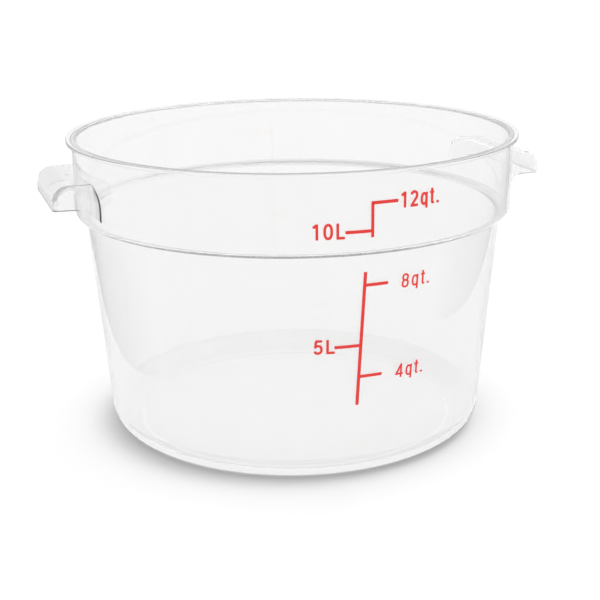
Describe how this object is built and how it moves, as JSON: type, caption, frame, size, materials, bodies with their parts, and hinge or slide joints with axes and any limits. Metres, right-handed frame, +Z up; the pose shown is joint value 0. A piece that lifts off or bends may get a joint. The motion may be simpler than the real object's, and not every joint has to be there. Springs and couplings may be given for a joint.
{
  "type": "round food storage container",
  "caption": "Clear round food storage tub, tapered below a wider collar, open on top, with hooded handles on opposite sides and printed level marks.",
  "frame": {"origin": "under the middle of the foot, on the ground", "axes": "+Z up out of the mouth, X from handle to handle, -Y towards the printed scales"},
  "size_m": [0.349, 0.314, 0.207],
  "materials": {
    "clear_plastic": "clear, polished from the mould",
    "red_ink": "screen-printed ink, satin"
  },
  "bodies": {
    "root": {"container": "clear_plastic", "collar_scale": "red_ink", "body_scale": "red_ink"}
  },
  "joints": []
}
